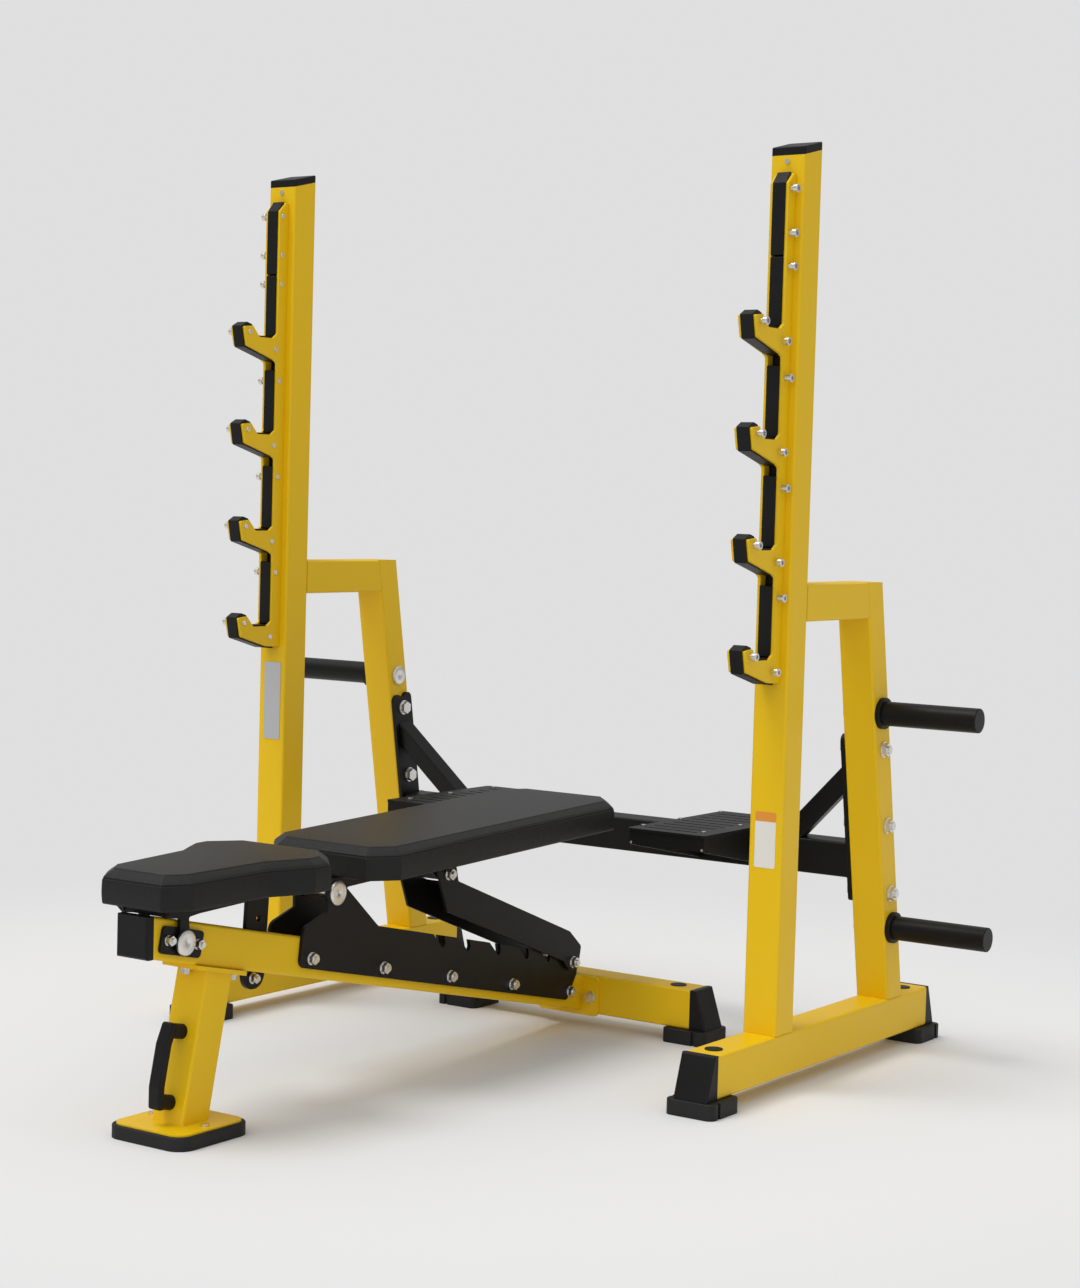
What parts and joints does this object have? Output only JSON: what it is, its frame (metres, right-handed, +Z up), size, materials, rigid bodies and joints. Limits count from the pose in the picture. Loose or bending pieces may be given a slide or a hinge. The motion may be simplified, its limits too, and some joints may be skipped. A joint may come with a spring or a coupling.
{
  "type": "olympic bench press",
  "caption": "Rack of two side frames with bar hooks, plate pegs and spotter platforms, round an adjustable flat-to-incline bench.",
  "frame": {"origin": "on the floor, in the middle of the whole object's plan", "axes": "+X across the rack, +Y from the bench's foot end to its head end, +Z up"},
  "size_m": [1.686, 1.7234, 1.7553],
  "materials": {
    "yellow_coat": "satin",
    "black_coat": "satin",
    "liner": "matte",
    "rubber": "matte",
    "steel": "satin",
    "vinyl": "satin grain",
    "board": "matte",
    "plate": "satin",
    "label": "matte"
  },
  "bodies": {
    "rack": {"base_beam_left": "yellow_coat", "base_beam_right": "yellow_coat", "upright_left": "yellow_coat", "upright_right": "yellow_coat", "top_link_left": "yellow_coat", "top_link_right": "yellow_coat", "rear_leg_left": "yellow_coat", "rear_leg_right": "yellow_coat", "upright_caps": "liner", "base_end_caps": "liner", "base_feet": "rubber", "base_beam_plugs": "liner", "hook_bolts_left": "steel", "hook_bolts_right": "steel", "hook_plates_left": "yellow_coat", "hook_plates_right": "yellow_coat", "hook_liners_left": "liner", "hook_liners_right": "liner", "storage_peg_upper_left": "black_coat", "storage_peg_upper_right": "black_coat", "storage_peg_lower_left": "black_coat", "storage_peg_lower_right": "black_coat", "peg_fixings": "steel", "crossbeam": "black_coat", "crossbeam_end_plates": "black_coat", "crossbeam_braces": "black_coat", "crossbeam_bolts": "steel", "spotter_platform_left": "black_coat", "spotter_platform_right": "black_coat", "small_screws": "steel", "name_plate": "plate", "blank_label": "label"},
    "bench": {"bench_main_beam": "yellow_coat", "bench_beam_cap": "liner", "bench_front_leg": "yellow_coat", "bench_shoe": "rubber", "bench_handle": "liner", "bench_cross_foot": "yellow_coat", "bench_cross_caps": "liner", "bench_feet": "rubber", "bench_plugs": "liner", "bench_saddle_plate": "yellow_coat", "ladder_plate_left": "black_coat", "ladder_plate_right": "black_coat", "seat_pivot_plates": "black_coat", "bench_bolts": "steel", "pull_pin_housing": "steel"},
    "seat": {"seat_pivot_pin": "steel", "seat_frame": "black_coat", "seat_board": "board", "seat_pad": "vinyl", "seat_adjuster": "black_coat", "seat_stop_bolt": "steel"},
    "pull_pin": {"seat_pull_pin": "steel"},
    "back": {"back_pins": "steel", "back_frame": "black_coat", "back_board": "board", "back_pad": "vinyl"},
    "strut": {"back_strut": "black_coat", "strut_bolt": "steel"}
  },
  "joints": [
    {"name": "bench_out", "type": "slide", "parent": "rack", "child": "bench", "axis": [0, -1, 0], "range_m": [0, 1.15]},
    {"name": "seat_tilt", "type": "hinge", "parent": "bench", "child": "seat", "pos_m": [0, -0.7802, 0.33925], "axis": [1, 0, 0], "range_deg": [-14, 0]},
    {"name": "pull_pin_slide", "type": "slide", "parent": "bench", "child": "pull_pin", "axis": [1, 0, 0], "range_m": [0, 0.015]},
    {"name": "back_tilt", "type": "hinge", "parent": "bench", "child": "back", "pos_m": [0, -0.3782, 0.375], "axis": [1, 0, 0], "range_deg": [0, 76]},
    {"name": "strut_fold", "type": "hinge", "parent": "back", "child": "strut", "pos_m": [0, -0.0542, 0.3746], "axis": [1, 0, 0], "range_deg": [-108, 0]}
  ],
  "couplings": [
    {"joint": "strut_fold", "follows": "back_tilt", "ratio": -1.42}
  ]
}
